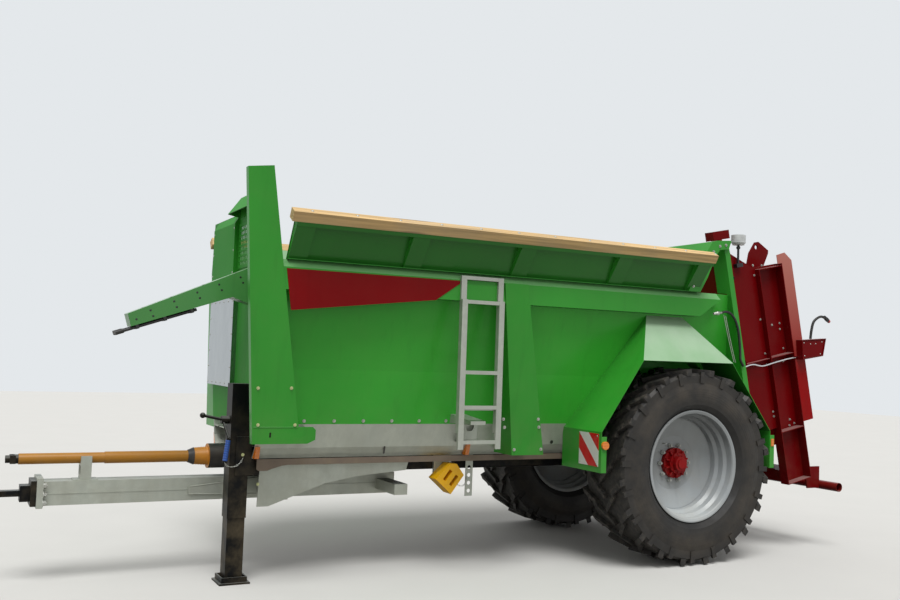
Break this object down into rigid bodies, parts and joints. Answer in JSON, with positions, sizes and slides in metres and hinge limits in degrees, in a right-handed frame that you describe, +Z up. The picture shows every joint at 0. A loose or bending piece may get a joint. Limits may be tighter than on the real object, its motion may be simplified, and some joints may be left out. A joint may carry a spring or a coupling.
{
  "type": "manure spreader",
  "caption": "Towed single-axle manure spreader with a tapered load body, a scraper floor, a lifting gate and upright beaters behind it.",
  "frame": {"origin": "on the ground under the middle of the bounding box", "axes": "+X towards the towing end, +Y to the left seen from behind, +Z up"},
  "size_m": [7.79, 2.55, 3.168],
  "materials": {
    "green_paint": "satin gloss",
    "red_paint": "satin gloss",
    "black_paint": "satin",
    "galvanised": "matt, mottled zinc",
    "polished_steel": "polished",
    "rod_chrome": "polished",
    "rim_paint": "satin silver",
    "tyre_rubber": "matt",
    "hose_rubber": "matt",
    "black_plastic": "matt",
    "yellow_plastic": "satin",
    "chock_yellow": "satin",
    "board_wood": "planed",
    "plate_red_white": "reflective sheet, red and white",
    "amber_lens": "glossy",
    "beacon_lens": "glossy"
  },
  "bodies": {
    "chassis": {"chassis_frame": "black_paint", "side_frames": "galvanised", "floor_plate": "galvanised", "scraper_chains": "galvanised", "scraper_shafts": "black_paint", "side_wall_left": "green_paint", "side_wall_right": "green_paint", "top_rails": "green_paint", "side_posts": "green_paint", "wedge_panels": "red_paint", "wall_extensions": "green_paint", "top_boards": "board_wood", "front_columns": "green_paint", "front_wall": "green_paint", "window_grille": "green_paint", "window_hood": "green_paint", "front_cover": "green_paint", "polished_panel": "polished_steel", "hose_arm": "green_paint", "arm_hoses": "hose_rubber", "drawbar": "galvanised", "tow_coupling": "black_paint", "pto_shaft": "black_paint", "pto_guard": "yellow_plastic", "pto_cones": "black_plastic", "pto_cradle": "galvanised", "drive_line": "black_paint", "jack_sleeve": "black_paint", "jack_crank": "black_paint", "ladder_upper": "galvanised", "mudguard_left": "green_paint", "mudguard_right": "green_paint", "warning_plates": "plate_red_white", "marker_lamps": "amber_lens", "axle_beam": "black_paint", "brake_drums": "black_paint", "wheel_chocks": "chock_yellow", "chock_holders": "galvanised", "rear_frame": "green_paint", "gate_barrels": "black_paint", "unit_sides": "red_paint", "unit_top": "red_paint", "unit_base": "red_paint", "unit_flaps": "red_paint", "rear_bar": "red_paint", "beacon": "beacon_lens", "lamp_arms": "red_paint"},
    "wheel_left": {"tyre_left": "tyre_rubber", "rim_left": "rim_paint", "hub_left": "red_paint"},
    "wheel_right": {"tyre_right": "tyre_rubber", "rim_right": "rim_paint", "hub_right": "red_paint"},
    "beater_left": {"beater_left": "red_paint"},
    "beater_right": {"beater_right": "red_paint"},
    "gate": {"gate": "red_paint", "gate_rods": "rod_chrome"},
    "jack_leg": {"jack_leg": "black_paint"},
    "ladder_lower": {"ladder_lower": "galvanised"}
  },
  "joints": [
    {"name": "wheel_left_spin", "type": "hinge", "parent": "chassis", "child": "wheel_left", "pos_m": [-1.855, 0.985, 0.8885], "axis": [0, 1, 0], "continuous": true},
    {"name": "wheel_right_spin", "type": "hinge", "parent": "chassis", "child": "wheel_right", "pos_m": [-1.855, -0.985, 0.8885], "axis": [0, 1, 0], "continuous": true},
    {"name": "beater_left_spin", "type": "hinge", "parent": "chassis", "child": "beater_left", "pos_m": [-3.18958, 0.465, 1.91662], "axis": [0.2079, 0, 0.9781], "continuous": true},
    {"name": "beater_right_spin", "type": "hinge", "parent": "chassis", "child": "beater_right", "pos_m": [-3.18958, -0.465, 1.91662], "axis": [0.2079, 0, 0.9781], "continuous": true},
    {"name": "gate_lift", "type": "slide", "parent": "chassis", "child": "gate", "axis": [0.2079, 0, 0.9781], "range_m": [0, 1.2]},
    {"name": "jack_slide", "type": "slide", "parent": "chassis", "child": "jack_leg", "axis": [0, 0, 1], "range_m": [0, 0.42]},
    {"name": "ladder_slide", "type": "slide", "parent": "chassis", "child": "ladder_lower", "axis": [0, 0, -1], "range_m": [0, 0.5]}
  ],
  "couplings": [
    {"joint": "beater_right_spin", "follows": "beater_left_spin", "ratio": -1}
  ]
}
